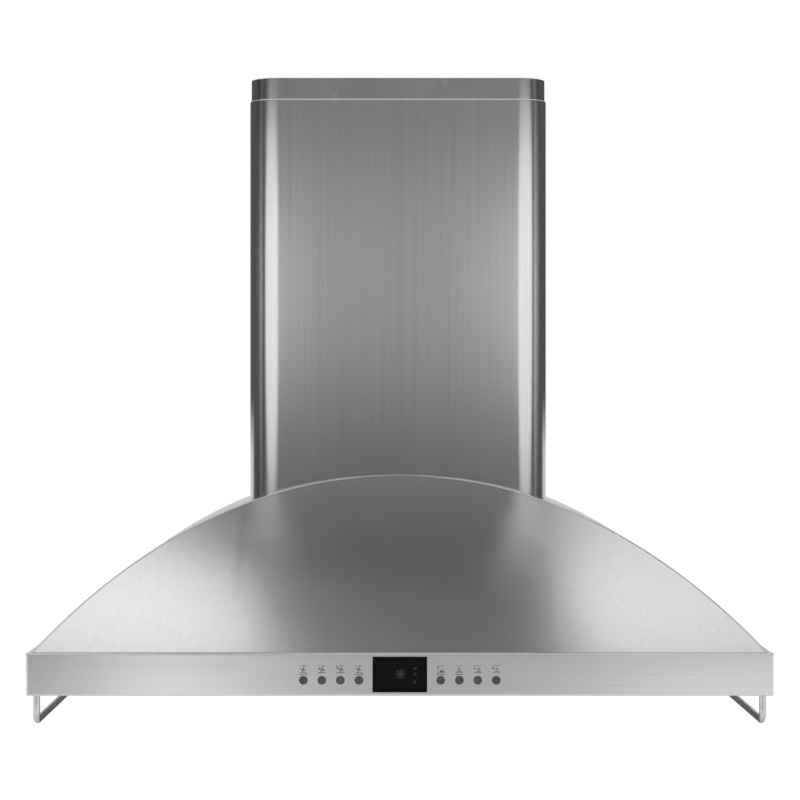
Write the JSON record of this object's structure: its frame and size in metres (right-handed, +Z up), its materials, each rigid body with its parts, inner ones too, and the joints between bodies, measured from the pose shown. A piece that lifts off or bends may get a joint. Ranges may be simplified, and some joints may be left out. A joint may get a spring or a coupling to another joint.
{
  "type": "chimney range hood",
  "caption": "Wall-mounted arched chimney range hood with a round-cornered telescoping chimney, push buttons, a display, side rails, baffle filters, lamps and a blower.",
  "frame": {"origin": "on the wall plane, at the middle of the rear edge of the rim's foot", "axes": "+Z up, the front faces -Y and the back lies against a wall at y = 0, +X to the right seen from the front"},
  "size_m": [0.76, 0.5012, 0.6972],
  "materials": {
    "canopy_steel": "fine satin brushed stainless sheet",
    "chimney_steel": "vertically brushed stainless sheet",
    "pan_steel": "brushed stainless sheet",
    "polished_steel": "polished stainless rod",
    "fastener_steel": "zinc-plated",
    "galvanised_sheet": "galvanised sheet with fine spangle",
    "blower_aluminium": "mill finish",
    "motor_black": "black enamel",
    "latch_plastic": "moulded",
    "frosted_glass": "frosted",
    "lamp_metal": "satin",
    "housing_plastic": "moulded",
    "circuit_board": "green solder mask",
    "display_black": "gloss black window",
    "button_grey": "dark grey satin",
    "white_plastic": "moulded",
    "black_rubber": "matt"
  },
  "bodies": {
    "hood": {"canopy_face": "canopy_steel", "canopy_arch": "canopy_steel", "canopy_back": "galvanised_sheet", "control_fascia": "canopy_steel", "rim_left": "canopy_steel", "rim_right": "canopy_steel", "rim_rear": "galvanised_sheet", "underside_pan": "pan_steel", "pan_screws": "fastener_steel", "rail_left": "polished_steel", "rail_right": "polished_steel", "rail_nuts": "fastener_steel", "chimney_lower_cover": "chimney_steel", "blower_housing": "galvanised_sheet", "blower_side_plate": "galvanised_sheet", "blower_brackets": "galvanised_sheet", "blower_motor": "motor_black", "motor_bracket": "galvanised_sheet", "run_capacitor": "white_plastic", "duct_transition": "galvanised_sheet", "duct_collar": "blower_aluminium", "damper_pin": "fastener_steel", "lamp_housing_left": "lamp_metal", "lamp_module_left": "lamp_metal", "lamp_lens_left": "frosted_glass", "lamp_bezel_left": "polished_steel", "lamp_housing_right": "lamp_metal", "lamp_module_right": "lamp_metal", "lamp_lens_right": "frosted_glass", "lamp_bezel_right": "polished_steel", "control_housing": "housing_plastic", "control_board": "circuit_board", "display_module": "housing_plastic", "display_window": "display_black", "junction_box": "galvanised_sheet", "junction_cover": "galvanised_sheet", "cable_gland": "black_rubber", "lamp_driver": "white_plastic", "wiring_harness": "black_rubber"},
    "blower_rotor": {"blower_wheel": "blower_aluminium", "motor_shaft": "fastener_steel"},
    "damper_front": {"damper_flap_front": "blower_aluminium"},
    "damper_rear": {"damper_flap_rear": "blower_aluminium"},
    "filter_left": {"filter_frame_left": "pan_steel", "filter_baffles_left": "pan_steel"},
    "latch_left": {"filter_latch_left": "latch_plastic"},
    "filter_right": {"filter_frame_right": "pan_steel", "filter_baffles_right": "pan_steel"},
    "latch_right": {"filter_latch_right": "latch_plastic"},
    "upper_chimney": {"chimney_upper_cover": "chimney_steel", "ceiling_bracket": "galvanised_sheet", "sleeve_screws": "fastener_steel"},
    "button_1": {"button_1": "button_grey"},
    "button_2": {"button_2": "button_grey"},
    "button_3": {"button_3": "button_grey"},
    "button_4": {"button_4": "button_grey"},
    "button_5": {"button_5": "button_grey"},
    "button_6": {"button_6": "button_grey"},
    "button_7": {"button_7": "button_grey"},
    "button_8": {"button_8": "button_grey"}
  },
  "joints": [
    {"name": "button_1_press", "type": "slide", "parent": "hood", "child": "button_1", "axis": [0, 1, 0], "range_m": [0, 0.0008], "stiffness_N_per_m": 400, "springref_m": -0.0005},
    {"name": "button_2_press", "type": "slide", "parent": "hood", "child": "button_2", "axis": [0, 1, 0], "range_m": [0, 0.0008], "stiffness_N_per_m": 400, "springref_m": -0.0005},
    {"name": "button_3_press", "type": "slide", "parent": "hood", "child": "button_3", "axis": [0, 1, 0], "range_m": [0, 0.0008], "stiffness_N_per_m": 400, "springref_m": -0.0005},
    {"name": "button_4_press", "type": "slide", "parent": "hood", "child": "button_4", "axis": [0, 1, 0], "range_m": [0, 0.0008], "stiffness_N_per_m": 400, "springref_m": -0.0005},
    {"name": "button_5_press", "type": "slide", "parent": "hood", "child": "button_5", "axis": [0, 1, 0], "range_m": [0, 0.0008], "stiffness_N_per_m": 400, "springref_m": -0.0005},
    {"name": "button_6_press", "type": "slide", "parent": "hood", "child": "button_6", "axis": [0, 1, 0], "range_m": [0, 0.0008], "stiffness_N_per_m": 400, "springref_m": -0.0005},
    {"name": "button_7_press", "type": "slide", "parent": "hood", "child": "button_7", "axis": [0, 1, 0], "range_m": [0, 0.0008], "stiffness_N_per_m": 400, "springref_m": -0.0005},
    {"name": "button_8_press", "type": "slide", "parent": "hood", "child": "button_8", "axis": [0, 1, 0], "range_m": [0, 0.0008], "stiffness_N_per_m": 400, "springref_m": -0.0005},
    {"name": "blower_spin", "type": "hinge", "parent": "hood", "child": "blower_rotor", "pos_m": [0, -0.13, 0.14], "axis": [1, 0, 0], "continuous": true},
    {"name": "damper_front_swing", "type": "hinge", "parent": "hood", "child": "damper_front", "pos_m": [0, -0.15, 0.3003], "axis": [-1, 0, 0], "range_deg": [0, 80]},
    {"name": "damper_rear_swing", "type": "hinge", "parent": "hood", "child": "damper_rear", "pos_m": [0, -0.15, 0.3003], "axis": [1, 0, 0], "range_deg": [0, 80]},
    {"name": "filter_left_drop", "type": "hinge", "parent": "hood", "child": "filter_left", "pos_m": [-0.153, -0.066, 0.018], "axis": [1, 0, 0], "range_deg": [0, 60]},
    {"name": "latch_left_slide", "type": "slide", "parent": "filter_left", "child": "latch_left", "axis": [0, 1, 0], "range_m": [0, 0.005], "stiffness_N_per_m": 600, "springref_m": -0.003},
    {"name": "filter_right_drop", "type": "hinge", "parent": "hood", "child": "filter_right", "pos_m": [0.153, -0.066, 0.018], "axis": [1, 0, 0], "range_deg": [0, 60]},
    {"name": "latch_right_slide", "type": "slide", "parent": "filter_right", "child": "latch_right", "axis": [0, 1, 0], "range_m": [0, 0.005], "stiffness_N_per_m": 600, "springref_m": -0.003},
    {"name": "upper_cover_slide", "type": "slide", "parent": "hood", "child": "upper_chimney", "axis": [0, 0, 1], "range_m": [0, 0.3]}
  ]
}
